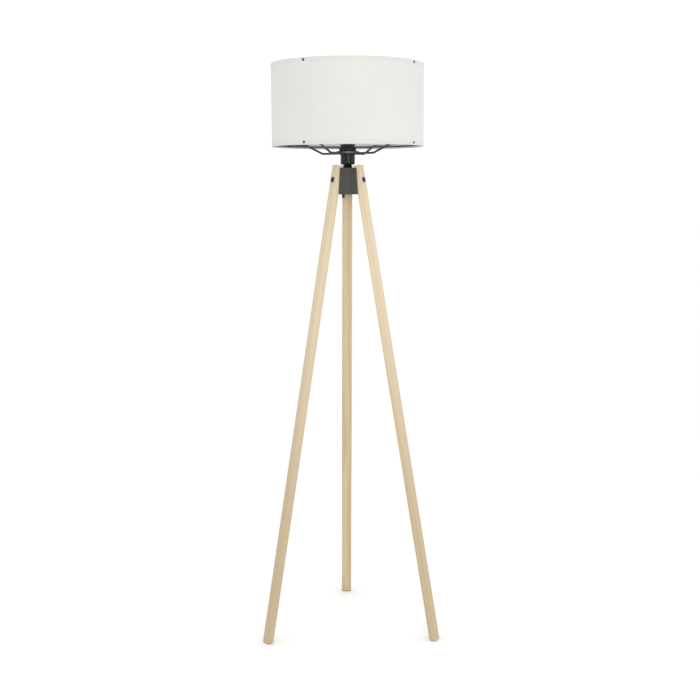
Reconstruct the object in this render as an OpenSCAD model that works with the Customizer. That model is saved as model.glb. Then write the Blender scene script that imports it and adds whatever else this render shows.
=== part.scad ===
// Tripod floor lamp: a drum shade on a wire spider, a screw lamp holder,
// a cast hub and three splayed wooden legs. Millimetres, +Z up.
// The origin is on the floor, straight below the lamp holder.

/* [Overall] */
// Height of the top edge of the shade above the floor
lamp_h = 1450; // [1200:10:1700]

/* [Shade] */
// Outside diameter of the drum shade, without its hem tape
shade_d = 380; // [300:5:500]
// Height of the shade, hem to hem
shade_h = 202; // [160:1:300]
// Thickness of the outer cloth
cloth_t = 0.8; // [0.4:0.1:1.5]
// Thickness of the stiff liner behind the cloth
liner_t = 0.6; // [0.4:0.1:1.2]
// Height of the hem tape folded over each edge
hem_h = 10; // [6:0.5:16]
// Thickness of the hem tape
hem_t = 0.4; // [0.2:0.1:0.8]
// Wire diameter of the two shade rings
ring_wire_d = 4; // [3:0.5:5]
// Distance from the shade's edge to a ring's centre
ring_inset = 5.5; // [4:0.5:8]
// Turn of the spider and rivets about the lamp's axis, from the front
shade_turn = 55; // [0:1:90]

/* [Shade rivets] */
// Distance from the shade's edge to a rivet's centre
rivet_inset = 6; // [5:0.5:9]
// Diameter of a rivet's head
rivet_head_d = 6.5; // [5:0.5:8]
// Diameter of a rivet's shank
rivet_shank_d = 3; // [2:0.5:4]
// Sheet thickness of the clips that hold the rings
clip_t = 0.6; // [0.4:0.1:1]

/* [Spider] */
// Wire diameter of the spider's arms
arm_wire_d = 5.5; // [3:0.5:7]
// Distance from the axis to the bend where an arm starts down
bend_r = 125; // [100:1:140]
// Distance from the axis to the knee where an arm levels out
knee_r = 76; // [50:1:90]
// How far the arms drop from the shade's ring to the fitter ring
arm_drop = 21.5; // [8:0.5:30]
// Width of the fitter ring, from its bore to its rim
fitter_w = 9.35; // [7:0.05:14]
// Height of the fitter ring
fitter_h = 3.8; // [3:0.1:6]

/* [Ring nut] */
// Width of the nut's flange beyond its collar
nut_flange_w = 7.35; // [5:0.05:10]
// Thickness of the nut's flange
nut_flange_t = 2.4; // [1.5:0.1:4]
// Wall of the nut's ribbed collar, without its ribs
nut_wall = 1.5; // [1.2:0.1:3]
// Height of the ring nut
nut_h = 12.5; // [8:0.5:16]
// Height that the ribs stand out
rib_out = 0.7; // [0.3:0.1:1.2]
// Thickness of the clamp washer under the nut
washer_t = 1; // [0.5:0.1:2]

/* [Lamp holder] */
// Wall of the holder's threaded skirt
skirt_wall = 4.8; // [3.5:0.1:6]
// Height of the skirt above its shoulder
skirt_h = 24.5; // [22:0.5:32]
// Thickness of the shoulder that the fitter ring sits on
shoulder_t = 2; // [1.5:0.5:4]
// Width of the shoulder beyond the skirt
shoulder_out = 2.2; // [1:0.1:4]
// Wall of the spigot where the skirt sits in the lower body
spigot_wall = 1.95; // [1.5:0.05:3]
// Height of the holder's lower body
body_h = 24; // [20:1:36]
// Wall of the lower body
body_wall = 2.2; // [1.5:0.1:3]
// Inside diameter of the screw shell that takes the bulb's cap
shell_bore_d = 27; // [26.8:0.1:27.2]
// Wall of the screw shell
shell_t = 0.4; // [0.3:0.1:0.6]

/* [Neck] */
// Diameter of the collar between hub and lamp holder
neck_d = 19; // [16:0.5:24]
// Height of the collar
neck_h = 8; // [5:0.5:20]
// Outside diameter of the threaded tube
tube_d = 10; // [9:0.5:12]
// Bore of the threaded tube
tube_bore_d = 8; // [6:0.5:8]

/* [Hub] */
// Height of the hub
hub_h = 66; // [55:1:90]
// Distance from the axis to each flat web between two legs
web_r = 25.4; // [24:0.1:30]
// Distance from the axis to the end of the cheeks, at the top
cheek_top_r = 31.5; // [30:0.5:38]
// Distance from the axis to the end of the cheeks, at the bottom
cheek_low_r = 35.7; // [35:0.1:42]
// Thickness of each cheek beside a leg
cheek_t = 3.5; // [2.5:0.1:6]
// Chamfer round the hub's ends
hub_chamfer = 1.5; // [0.5:0.5:3]
// Depth of the wiring space inside the hub
cavity_h = 20; // [12:1:26]
// Distance from the hub's bottom cover to each web's face
cover_margin = 3.4; // [2:0.1:6]
// Width of the ledge that the bottom cover rests on
cover_ledge = 4; // [2:0.5:6]
// Thickness of the bottom cover
cover_t = 3; // [2:0.5:5]
// Diameter of the cord gland's shank
gland_d = 8; // [6:0.5:9]

/* [Legs] */
// Width of a leg across its face
leg_w = 26; // [20:1:34]
// Thickness of a leg, in and out
leg_t = 17; // [12:1:24]
// Rounding of a leg's long edges
leg_round = 1.5; // [0.5:0.5:4]
// Angle of each leg from upright
splay = 10.2; // [8:0.1:12]
// Distance from the axis to a leg's inner face at the hub's top
leg_seat_r = 22; // [20:0.5:26]
// How far a leg stands above the hub, along its inner face
leg_rise = 5; // [2:1:20]
// Thickness of the felt pad under each leg
pad_t = 2; // [1:0.5:4]

/* [Leg bolts] */
// Diameter of a leg bolt's shank
bolt_d = 6; // [5:1:8]
// Diameter of a leg bolt's button head
bolt_head_d = 14.5; // [10:0.5:16]
// Height of a leg bolt's head
bolt_head_h = 4; // [3:0.5:6]
// Distance from the hub's top down the leg to its bolt
bolt_drop = 33; // [24:1:40]
// Outside diameter of the threaded insert
insert_d = 9; // [8.5:0.5:11]
// Length of the threaded insert
insert_l = 13; // [8:1:14]

/* [Bulb] */
// Diameter of the bulb's glass
glass_d = 60; // [45:1:80]
// Height of the bulb from its tip contact to the top of the glass
bulb_h = 110; // [100:1:130]
// Height of the bulb's screw cap
cap_h = 22; // [18:1:24]
// Wall of the bulb's glass
glass_t = 0.9; // [0.6:0.1:1.5]

/* [Hidden] */
$fn = 96;

// Clearances
turn_gap = 0.1;         // between flat faces that turn on each other
sleeve_gap = 0.4;       // round the skirt, inside what turns on it
thread_gap = 0.1;       // round a threaded tube or bolt in its hole
bolt_gap = 0.2;         // round a bolt in a leg
slot_gap = 0.1;         // beside a leg in its slot
clip_gap = 0.05;        // between a ring clip and what it bears on
shell_gap = 0.3;        // round the screw shell
cap_gap = 0.3;          // round the bulb's cap in the screw shell

// Heights, from the shade's top down
shade_low_z = lamp_h - shade_h;
ring_z = shade_low_z + ring_inset;
top_ring_z = lamp_h - ring_inset;
fitter_mid_z = ring_z - arm_drop;
seat_z = fitter_mid_z - fitter_h / 2 - turn_gap;
washer_z = fitter_mid_z + fitter_h / 2 + turn_gap;
nut_z = washer_z + washer_t;
body_top_z = seat_z - shoulder_t;
body_z = body_top_z - body_h;
hub_top_z = body_z - neck_h;
hub_z = hub_top_z - hub_h;

// The shade's layers, from the outside in
cloth_r = shade_d / 2;
liner_r = cloth_r - cloth_t;
lining_r = liner_r - liner_t;
hem_in_r = lining_r - hem_t;
clip_back_r = hem_in_r - clip_gap - clip_t;
tail_h = 0.9;           // of a rivet's upset tail, behind the clip
ring_r = clip_back_r - tail_h - clip_gap - ring_wire_d / 2;
arm_count = 4;
arm_step = 360 / arm_count;
weld = 0.4;             // how deep the wires run into each other where they are welded
arm_bend = 8;           // radius of the wire's centreline in a bend
bend_steps = 6;
wire_sides = 24;

// The lamp holder and what turns on it
skirt_bore_r = shell_bore_d / 2 + shell_t + shell_gap;
skirt_r = skirt_bore_r + skirt_wall;
sleeve_r = skirt_r + sleeve_gap;
fitter_r = sleeve_r + fitter_w;
nut_collar_r = sleeve_r + nut_wall;
nut_flange_r = nut_collar_r + nut_flange_w;
spigot_r = skirt_bore_r + spigot_wall;
body_r = spigot_r + body_wall;
spigot_h = 7;           // of the skirt inside the lower body
block_h = 6;
tongue_h = 6.4;         // of the sprung contact above the block
washer_h = 1.2;         // of the washer inside the hub
block_z = body_top_z - spigot_h - block_h;
contact_z = block_z + block_h;
tip_z = contact_z + tongue_h;
tube_hole_d = tube_d + 2 * thread_gap;
tube_low_z = hub_z + cavity_h - 12;     // below the nut that holds it in the hub
tube_top_z = body_z + 7.5;              // above the lower body's floor

// The hub's slots and the legs
leg_count = 3;
leg_step = 360 / leg_count;
leg_run = hub_top_z / cos(splay) + 20;  // past the floor, before the foot is cut
foot_r = leg_seat_r + (hub_top_z - pad_t) * tan(splay) + leg_t / cos(splay) / 2;
pad_margin = 2;         // from a foot's edge to its pad
socket_d = 4.6;
cover_r = web_r - cover_margin;
cavity_r = cover_r - cover_ledge;
gland_flange_r = gland_d / 2 + 1;
gland_turn = 20;        // from the left towards the back leg
gland_out = cavity_r - gland_flange_r - 0.8;
gland_tail = 9;         // how far the gland hangs below the hub

// The bulb
cap_r = shell_bore_d / 2 - cap_gap;
tip_r = 4.6;
tip_h = 2.2;
insulator_h = 3;
cap_z = tip_z + tip_h + insulator_h;
glass_low_z = cap_z + cap_h - 3;
glass_mid_z = tip_z + bulb_h - glass_d / 2;
cap_ring_step = 3.6;
glass_inset = 0.8;      // from the cap's outside to the glass inside its rim

// Turns what is drawn at the front round to an azimuth
module at_azimuth(angle) {
    rotate([0, 0, angle]) children();
}

// Stands an outline of (distance from the axis, height) up at the front
module radial_plate(width) {
    rotate([90, 0, -90]) linear_extrude(width, center = true) children();
}

// Places what is drawn down -Z, with its outer face at -Y, along the front leg
module leg_frame() {
    translate([0, -leg_seat_r, hub_top_z]) rotate([-splay, 0, 0]) children();
}

// Points a cylinder from the leg's outer side towards the axis
module bolt_line(depth) {
    leg_frame() translate([0, depth, -bolt_drop]) rotate([-90, 0, 0]) children();
}

// A rectangle with true round corners
module soft_rect(w, d, r) {
    square([w - 2 * r, d], center = true);
    square([w, d - 2 * r], center = true);
    for (x = [-1, 1])
        for (y = [-1, 1])
            translate([x * (w / 2 - r), y * (d / 2 - r)]) circle(r, $fn = 24);
}

// A round tube standing on z
module tube_ring(outer_r, inner_r, z, h) {
    translate([0, 0, z]) difference() {
        cylinder(h = h, r = outer_r);
        translate([0, 0, -1]) cylinder(h = h + 2, r = inner_r);
    }
}

// The rivet holes through the shade's layers at one height
module rivet_holes(z) {
    for (i = [0 : arm_count - 1])
        at_azimuth(shade_turn + i * arm_step)
            translate([0, -cloth_r - 5, z]) rotate([-90, 0, 0])
                cylinder(h = 12, d = rivet_shank_d, $fn = 24);
}

// ---- Shade ----

module shade_layer(outer_r, t) {
    difference() {
        tube_ring(outer_r, outer_r - t, shade_low_z + hem_t, shade_h - 2 * hem_t);
        rivet_holes(shade_low_z + rivet_inset);
        rivet_holes(lamp_h - rivet_inset);
    }
}

module shade_cloth() {
    color("whitesmoke") shade_layer(cloth_r, cloth_t);
}

module shade_liner() {
    color("white") shade_layer(liner_r, liner_t);
}

// Hem tape folded over an edge: outside, across the edge and up the inside
module hem(edge_z, way) {
    difference() {
        rotate_extrude() difference() {
            translate([hem_in_r, way > 0 ? edge_z : edge_z - hem_h])
                square([cloth_r + hem_t - hem_in_r, hem_h]);
            translate([lining_r, way > 0 ? edge_z + hem_t : edge_z - hem_h - hem_t])
                square([cloth_r - lining_r, hem_h]);
        }
        rivet_holes(edge_z + way * rivet_inset);
    }
}

module shade_top_hem() {
    color("whitesmoke") hem(lamp_h, -1);
}

module shade_bottom_hem() {
    color("whitesmoke") hem(shade_low_z, 1);
}

module wire_ring(z) {
    translate([0, 0, z]) rotate_extrude()
        translate([ring_r, 0]) circle(d = ring_wire_d, $fn = 24);
}

module shade_top_ring() {
    color("dimgray") wire_ring(top_ring_z);
}

module shade_bottom_ring() {
    color("dimgray") wire_ring(ring_z);
}

// Round head outside, shank through the layers and an upset tail inside
module rivets(z) {
    head_h = 1.6;
    grip = cloth_r + hem_t - clip_back_r;
    for (i = [0 : arm_count - 1])
        at_azimuth(shade_turn + i * arm_step)
            translate([0, -cloth_r - hem_t, z]) rotate([-90, 0, 0]) rotate_extrude($fn = 32)
                polygon([
                    [0, -head_h], [rivet_head_d * 0.28, -head_h * 0.9],
                    [rivet_head_d * 0.44, -head_h * 0.5], [rivet_head_d / 2, 0],
                    [rivet_shank_d / 2, 0], [rivet_shank_d / 2, grip],
                    [rivet_shank_d * 0.8, grip], [rivet_shank_d * 0.7, grip + tail_h - 0.2],
                    [0, grip + tail_h]
                ]);
}

module top_rivets() {
    color("black") rivets(lamp_h - rivet_inset);
}

module bottom_rivets() {
    color("black") rivets(shade_low_z + rivet_inset);
}

// A strip of sheet with a foot: the rivet holds it behind the hem and it holds the ring
module ring_clips(z, way) {
    clip_w = 8;
    top = rivet_inset - ring_inset + 3;
    near = clip_back_r - ring_r;
    far = near + clip_t;
    foot = -ring_wire_d / 2 - clip_gap;
    difference() {
        for (i = [0 : arm_count - 1])
            at_azimuth(shade_turn + i * arm_step)
                radial_plate(clip_w) translate([ring_r, z]) scale([1, way])
                    polygon([
                        [near, top], [far, top], [far, foot - clip_t], [0, foot - clip_t],
                        [0, foot], [near, foot]
                    ]);
        rivet_holes(way > 0 ? shade_low_z + rivet_inset : lamp_h - rivet_inset);
    }
}

module top_ring_clips() {
    color("gray") ring_clips(top_ring_z, -1);
}

module bottom_ring_clips() {
    color("gray") ring_clips(ring_z, 1);
}

// ---- Spider ----

// The wire's centreline as [distance from the axis, height, heading] from ring to fitter
function arm_path() = let (
    slope = atan(arm_drop / (bend_r - knee_r)),
    tangent = arm_bend * tan(slope / 2),
    bend_centre = [bend_r + tangent, ring_z - arm_bend],
    knee_centre = [knee_r - tangent, fitter_mid_z + arm_bend]
) concat(
    [[ring_r - ring_wire_d / 2 + weld, ring_z, 180]],
    [for (i = [0 : bend_steps]) let (a = slope * i / bend_steps) [
        bend_centre[0] - arm_bend * sin(a), bend_centre[1] + arm_bend * cos(a), 180 + a
    ]],
    [for (i = [bend_steps : -1 : 0]) let (a = slope * i / bend_steps) [
        knee_centre[0] + arm_bend * sin(a), knee_centre[1] - arm_bend * cos(a), 180 + a
    ]],
    [[fitter_r - weld, fitter_mid_z, 180]]
);

// A round wire swept along such a centreline, which lies over the X axis
module swept_wire(path, d) {
    rings = len(path);
    points = [
        for (p = path)
            for (k = [0 : wire_sides - 1]) let (t = 360 * k / wire_sides, u = d / 2 * cos(t)) [
                p[0] - u * sin(p[2]), d / 2 * sin(t), p[1] + u * cos(p[2])
            ]
    ];
    sides = [
        for (i = [0 : rings - 2])
            for (k = [0 : wire_sides - 1])
                let (a = i * wire_sides, b = a + wire_sides, next = (k + 1) % wire_sides)
                    each [[a + k, b + k, b + next], [a + k, b + next, a + next]]
    ];
    ends = [
        [for (k = [0 : wire_sides - 1]) k],
        [for (k = [wire_sides - 1 : -1 : 0]) (rings - 1) * wire_sides + k]
    ];
    polyhedron(points, concat(sides, ends));
}

// One arm at the front: in from the ring, down to the knee, in to the fitter
module front_arm() {
    rotate([0, 0, -90]) swept_wire(arm_path(), arm_wire_d);
}

module spider_arm(i) {
    color("dimgray") at_azimuth(shade_turn + i * arm_step) front_arm();
}

module arm_front_right() {
    spider_arm(0);
}

module arm_back_right() {
    spider_arm(1);
}

module arm_back_left() {
    spider_arm(2);
}

module arm_front_left() {
    spider_arm(3);
}

module fitter_ring() {
    color("dimgray")
        tube_ring(fitter_r, sleeve_r, fitter_mid_z - fitter_h / 2, fitter_h);
}

// ---- Ring nut ----

module clamp_washer() {
    color("silver") tube_ring(nut_flange_r - 1, sleeve_r, washer_z, washer_t);
}

module ring_nut() {
    rib_count = 20;
    rib_d = 3;
    color("black") difference() {
        union() {
            translate([0, 0, nut_z]) {
                cylinder(h = nut_flange_t, r = nut_flange_r);
                cylinder(h = nut_h, r = nut_collar_r);
            }
            for (i = [0 : rib_count - 1])
                at_azimuth(i * 360 / rib_count)
                    translate([0, rib_d / 2 - nut_collar_r - rib_out, nut_z + 1])
                        cylinder(h = nut_h - 2, d = rib_d, $fn = 16);
        }
        translate([0, 0, nut_z - 1]) cylinder(h = nut_h + 2, r = sleeve_r);
    }
}

// ---- Lamp holder ----

module holder_skirt() {
    color("black") difference() {
        union() {
            translate([0, 0, body_top_z - spigot_h]) cylinder(h = spigot_h, r = spigot_r);
            translate([0, 0, body_top_z])
                cylinder(h = shoulder_t, r = skirt_r + shoulder_out);
            translate([0, 0, seat_z]) cylinder(h = skirt_h, r = skirt_r);
        }
        translate([0, 0, body_top_z - spigot_h - 1])
            cylinder(h = spigot_h + shoulder_t + skirt_h + 2, r = skirt_bore_r);
    }
}

module holder_body() {
    corner = 4;
    floor_t = 3;
    color("black") translate([0, 0, body_z]) difference() {
        rotate_extrude() {
            square([body_r - corner, body_h]);
            translate([0, corner]) square([body_r, body_h - corner]);
            translate([body_r - corner, corner]) circle(corner, $fn = 48);
        }
        translate([0, 0, floor_t]) cylinder(h = body_h, r = spigot_r);
        translate([0, 0, -1]) cylinder(h = floor_t + 2, d = tube_hole_d);
    }
}

module screw_shell() {
    color("goldenrod")
        tube_ring(shell_bore_d / 2 + shell_t, shell_bore_d / 2, contact_z, skirt_h - 1);
}

module insulator_block() {
    color("ivory") difference() {
        translate([0, 0, block_z]) cylinder(h = block_h, r = spigot_r);
        for (x = [-1, 1])
            translate([x * 9, 0, block_z - 1]) cylinder(h = block_h + 2, d = 3, $fn = 24);
    }
}

// Sprung tongue on the block that meets the bulb's tip
module centre_contact() {
    tongue_w = 6;
    color("gold") translate([0, 0, contact_z]) rotate([90, 0, 0])
        linear_extrude(tongue_w, center = true)
            polygon([
                [-7, 0], [-2, 0], [-2, 0.6], [-6, 0.6], [1, tongue_h - 0.6], [5, tongue_h - 0.6],
                [5, tongue_h], [0.8, tongue_h], [-7, 0.7]
            ]);
}

module terminal_screws() {
    color("silver")
        for (x = [-1, 1])
            translate([x * 9, 0, block_z - 2.5]) {
                difference() {
                    cylinder(h = 2.5, d = 5.5, $fn = 32);
                    translate([-4, -0.4, -1]) cube([8, 0.8, 2]);
                }
                cylinder(h = block_h + 2, d = 3, $fn = 24);
            }
}

// ---- Neck ----

module neck_collar() {
    edge = 0.8;
    color("black") translate([0, 0, hub_top_z]) difference() {
        rotate_extrude()
            polygon([
                [0, 0], [neck_d / 2 - edge, 0], [neck_d / 2, edge],
                [neck_d / 2, neck_h - edge], [neck_d / 2 - edge, neck_h], [0, neck_h]
            ]);
        translate([0, 0, -1]) cylinder(h = neck_h + 2, d = tube_hole_d);
    }
}

module threaded_tube() {
    color("goldenrod")
        tube_ring(tube_d / 2, tube_bore_d / 2, tube_low_z, tube_top_z - tube_low_z);
}

module tube_washer() {
    color("silver")
        tube_ring(tube_d, tube_hole_d / 2, hub_z + cavity_h - washer_h, washer_h);
}

module tube_nut() {
    hex_h = 5;
    color("goldenrod") translate([0, 0, hub_z + cavity_h - washer_h - hex_h]) difference() {
        cylinder(h = hex_h, r = tube_d * 0.8, $fn = 6);
        translate([0, 0, -1]) cylinder(h = hex_h + 2, d = tube_hole_d);
    }
}

// ---- Hub ----

module hub_outline(low_r, top_r) {
    c = hub_chamfer;
    polygon([
        [0, 0], [low_r - c, 0], [low_r, c], [top_r, hub_h - c], [top_r - c, hub_h], [0, hub_h]
    ]);
}

module leg_slot() {
    w = leg_w + 2 * slot_gap;
    leg_frame() translate([-w / 2, -2 * leg_t - hub_h * sin(splay), -2 * hub_h])
        cube([w, 2 * leg_t + hub_h * sin(splay), 3 * hub_h]);
}

module hub() {
    cheek_w = leg_w + 2 * (slot_gap + cheek_t);
    color("dimgray") difference() {
        union() {
            for (i = [0 : leg_count - 1]) {
                at_azimuth(60 + i * leg_step)
                    radial_plate(cheek_w) translate([0, hub_z])
                        hub_outline(cheek_low_r, cheek_top_r);
                at_azimuth(i * leg_step)
                    radial_plate(leg_w) translate([0, hub_z]) hub_outline(web_r, web_r);
            }
        }
        for (i = [0 : leg_count - 1])
            at_azimuth(60 + i * leg_step) {
                leg_slot();
                bolt_line(-1) cylinder(h = insert_l + 2, d = insert_d, $fn = 48);
            }
        translate([0, 0, hub_z - 1]) {
            cylinder(h = cover_t + 1, r = cover_r);
            cylinder(h = cavity_h + 1, r = cavity_r);
            cylinder(h = hub_h + 2, d = tube_hole_d);
        }
    }
}

// Stands on the gland's axis, at a height above the hub's underside
module gland_place(z) {
    rotate([0, 0, 180 - gland_turn]) translate([gland_out, 0, hub_z + z]) children();
}

module hub_cover() {
    color("black") difference() {
        translate([0, 0, hub_z]) cylinder(h = cover_t, r = cover_r);
        gland_place(-1) cylinder(h = cover_t + 2, d = gland_d, $fn = 48);
    }
}

// Flange inside the cover, shank through it and a tapered tail below, bored for a lead
module cord_gland() {
    flange_t = 2;
    lead_bore_d = 5;
    color("black") gland_place(0) difference() {
        union() {
            translate([0, 0, cover_t]) cylinder(h = flange_t, r = gland_flange_r, $fn = 48);
            cylinder(h = cover_t + 1, d = gland_d, $fn = 48);
            translate([0, 0, -gland_tail])
                cylinder(h = gland_tail + 0.5, d1 = lead_bore_d + 1.2, d2 = gland_d, $fn = 48);
        }
        translate([0, 0, -gland_tail - 1])
            cylinder(h = gland_tail + cover_t + flange_t + 2, d = lead_bore_d, $fn = 32);
    }
}

// ---- Legs ----

module front_leg() {
    difference() {
        leg_frame() translate([0, -leg_t / 2, -leg_run])
            linear_extrude(leg_run + leg_rise) soft_rect(leg_w, leg_t, leg_round);
        translate([-leg_w, -2 * foot_r, -3 * leg_t])
            cube([2 * leg_w, 2 * foot_r, 3 * leg_t + pad_t]);
        bolt_line(-leg_t - 1) cylinder(h = leg_t + 2, d = bolt_d + 2 * bolt_gap, $fn = 32);
    }
}

module leg_left() {
    color("burlywood") at_azimuth(-60) front_leg();
}

module leg_right() {
    color("burlywood") at_azimuth(60) front_leg();
}

module leg_back() {
    color("burlywood") at_azimuth(180) front_leg();
}

module foot_pads() {
    color("gray")
        for (i = [0 : leg_count - 1])
            at_azimuth(60 + i * leg_step)
                translate([0, -foot_r, 0]) linear_extrude(pad_t)
                    soft_rect(leg_w - 2 * pad_margin, leg_t - 2 * pad_margin, 3);
}

// Button-head bolt with a hexagon socket, head on the leg's outer face
module leg_bolts() {
    socket_h = 2;
    color("black")
        for (i = [0 : leg_count - 1])
            at_azimuth(60 + i * leg_step)
                bolt_line(-leg_t) difference() {
                    union() {
                        rotate_extrude($fn = 48)
                            polygon([
                                [0, -bolt_head_h], [bolt_head_d * 0.25, -bolt_head_h],
                                [bolt_head_d * 0.4, -bolt_head_h * 0.72],
                                [bolt_head_d * 0.48, -bolt_head_h * 0.35],
                                [bolt_head_d / 2, 0], [0, 0]
                            ]);
                        cylinder(h = leg_t + insert_l - 1, d = bolt_d, $fn = 32);
                    }
                    translate([0, 0, -bolt_head_h - 1])
                        cylinder(h = socket_h + 1, d = socket_d, $fn = 6);
                }
}

module threaded_inserts() {
    color("goldenrod")
        for (i = [0 : leg_count - 1])
            at_azimuth(60 + i * leg_step)
                bolt_line(0) difference() {
                    cylinder(h = insert_l, d = insert_d, $fn = 48);
                    translate([0, 0, -1]) cylinder(h = insert_l + 2, d = bolt_d, $fn = 32);
                }
}

// ---- Bulb ----

// Half the glass as an outline: a neck that swells into a round crown
module glass_outline(shrink) {
    r = glass_d / 2 - shrink;
    neck_r = cap_r - glass_inset - shrink;
    low = glass_low_z;
    rise = glass_mid_z - low;
    polygon(concat(
        [[0, low], [neck_r, low], [neck_r, low + 5]],
        [for (t = [0.15 : 0.1 : 0.95])
            [neck_r + (r - neck_r) * (1 - cos(180 * t)) / 2, low + 5 + (rise - 5) * t]],
        [for (a = [0 : 6 : 90]) [r * cos(a), glass_mid_z + r * sin(a)]]
    ));
}

module bulb_glass() {
    color("white") rotate_extrude() difference() {
        glass_outline(0);
        translate([0, -0.01]) glass_outline(glass_t);
    }
}

// Screw cap: a thin shell with rolled rings, open at both ends
module bulb_cap() {
    r = cap_r;
    ring_out = 0.5;
    wall = 0.5;
    rings = floor((cap_h - 6) / cap_ring_step);
    color("silver") difference() {
        union() {
            translate([0, 0, cap_z]) cylinder(h = cap_h, r = r - ring_out);
            for (i = [0 : rings - 1])
                translate([0, 0, cap_z + 3 + i * cap_ring_step]) rotate_extrude()
                    polygon([[0, -1.2], [r - ring_out, -1.2], [r, 0], [r - ring_out, 1.2], [0, 1.2]]);
        }
        translate([0, 0, cap_z - 1]) cylinder(h = cap_h + 2, r = r - ring_out - wall);
        translate([0, 0, glass_low_z]) cylinder(h = cap_h, r = r - glass_inset);
    }
}

module bulb_insulator() {
    color("black") translate([0, 0, tip_z + tip_h])
        cylinder(h = insulator_h, r1 = tip_r + 0.5, r2 = cap_r - 1.5);
}

module bulb_tip() {
    color("silver") translate([0, 0, tip_z]) cylinder(h = tip_h, r1 = tip_r - 1, r2 = tip_r);
}

shade_cloth();
shade_liner();
shade_top_hem();
shade_bottom_hem();
shade_top_ring();
shade_bottom_ring();
top_rivets();
bottom_rivets();
top_ring_clips();
bottom_ring_clips();
arm_front_right();
arm_back_right();
arm_back_left();
arm_front_left();
fitter_ring();
clamp_washer();
ring_nut();
holder_skirt();
holder_body();
screw_shell();
insulator_block();
centre_contact();
terminal_screws();
neck_collar();
threaded_tube();
tube_nut();
tube_washer();
hub();
hub_cover();
cord_gland();
leg_left();
leg_right();
leg_back();
leg_bolts();
threaded_inserts();
foot_pads();
bulb_glass();
bulb_cap();
bulb_insulator();
bulb_tip();
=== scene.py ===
# %% [markdown]
# # A tripod floor lamp
#
# The lamp is already designed: its sizes, joints and fits come from a CAD model.
# Here it gets its looks. The camera comes first, then a small kit of modelling and
# material tools, then the finishes, then each piece from the shade down to the feet.

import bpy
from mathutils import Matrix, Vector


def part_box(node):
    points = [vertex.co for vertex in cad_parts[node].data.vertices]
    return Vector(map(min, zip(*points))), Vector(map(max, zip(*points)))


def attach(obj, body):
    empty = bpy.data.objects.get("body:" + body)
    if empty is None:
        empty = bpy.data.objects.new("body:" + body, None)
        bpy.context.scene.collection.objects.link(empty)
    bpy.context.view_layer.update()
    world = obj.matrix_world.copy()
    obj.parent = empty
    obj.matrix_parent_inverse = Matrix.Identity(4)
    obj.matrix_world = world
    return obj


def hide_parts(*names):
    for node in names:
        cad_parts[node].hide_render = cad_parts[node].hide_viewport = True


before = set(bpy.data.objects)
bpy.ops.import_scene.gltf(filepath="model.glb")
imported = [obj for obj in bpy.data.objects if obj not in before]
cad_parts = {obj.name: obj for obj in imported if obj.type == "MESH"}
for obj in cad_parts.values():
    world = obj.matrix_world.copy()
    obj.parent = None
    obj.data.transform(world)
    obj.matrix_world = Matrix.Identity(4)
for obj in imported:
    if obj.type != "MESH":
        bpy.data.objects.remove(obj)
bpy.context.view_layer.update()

# %% What the rest of the lesson needs
import math

import bpy
from mathutils import Euler, Matrix, Vector

MM = 0.001
LEG_AZIMUTHS = {"leg_left": -60, "leg_right": 60, "leg_back": 180}

# %% [markdown]
# ## The camera
#
# A lamp this tall is looked at from a few metres away through a longish lens, so that
# its legs don't splay towards the viewer. The camera stands level with the hub, where
# the eye goes, and looks down a little so that the feet and the shade both fit.
# It is turned two degrees round the lamp, so the back leg stands just off the middle.

# %% Camera
lens_mm = 57.9
camera_distance = 2.866
camera_height = 1.1425
camera_aside = 0.0037
tilt_down = math.radians(8.12)
turn_round = math.radians(-2.13)
roll = math.radians(-0.23)

bpy.ops.object.camera_add()
camera = bpy.context.object
camera.name = "camera"
camera.data.lens = lens_mm
camera.data.clip_end = 100
camera.matrix_world = (
    Matrix.Rotation(turn_round, 4, "Z")
    @ Matrix.Translation((camera_aside, -camera_distance, camera_height))
    @ Matrix.Rotation(math.pi / 2 - tilt_down, 4, "X")
    @ Matrix.Rotation(roll, 4, "Z")
)
bpy.context.scene.camera = camera
print("camera at", [round(v, 3) for v in camera.matrix_world.translation])

# %% [markdown]
# ## Modelling tools
#
# Nearly everything on a lamp is either turned or bent from wire, so two tools do most
# of the work. `turned` starts from a circle and extrudes it from point to point of an
# outline, scaling each new circle to its radius, as a lathe would cut it. `bevelled`
# takes the sharpness off the edges, because an edge that catches light is what makes a
# small part look real.


# %% Selecting, naming and applying
def only(piece):
    """Selects one object and makes it the active one."""
    bpy.ops.object.select_all(action="DESELECT")
    piece.select_set(True)
    bpy.context.view_layer.objects.active = piece
    return piece


def settled(piece):
    """Moves a piece's place, turn and scale into its mesh."""
    only(piece)
    bpy.ops.object.transform_apply(location=True, rotation=True, scale=True)
    return piece


def added(name):
    """Names the object that an operator has just added, and settles it."""
    piece = bpy.context.object
    piece.name = name
    piece.data.name = name
    return settled(piece)


def edited(piece, *steps):
    """Runs steps in edit mode with everything selected before each one."""
    only(piece)
    bpy.ops.object.mode_set(mode="EDIT")
    for step in steps:
        bpy.ops.mesh.select_all(action="SELECT")
        step()
    bpy.ops.object.mode_set(mode="OBJECT")
    return piece


def merge_doubles():
    bpy.ops.mesh.remove_doubles(threshold=1e-5)


def face_outwards():
    bpy.ops.mesh.normals_make_consistent(inside=False)


def modified(piece, kind, **settings):
    """Adds a modifier, sets it and applies it."""
    only(piece)
    modifier = piece.modifiers.new(kind.title(), kind)
    for name, value in settings.items():
        setattr(modifier, name, value)
    bpy.ops.object.modifier_apply(modifier=modifier.name)
    return piece


def bevelled(piece, width, segments=3, angle=30):
    """Rounds every edge sharper than an angle."""
    return modified(
        piece, "BEVEL", width=width, segments=segments, limit_method="ANGLE",
        angle_limit=math.radians(angle), harden_normals=False, use_clamp_overlap=True,
    )


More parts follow.
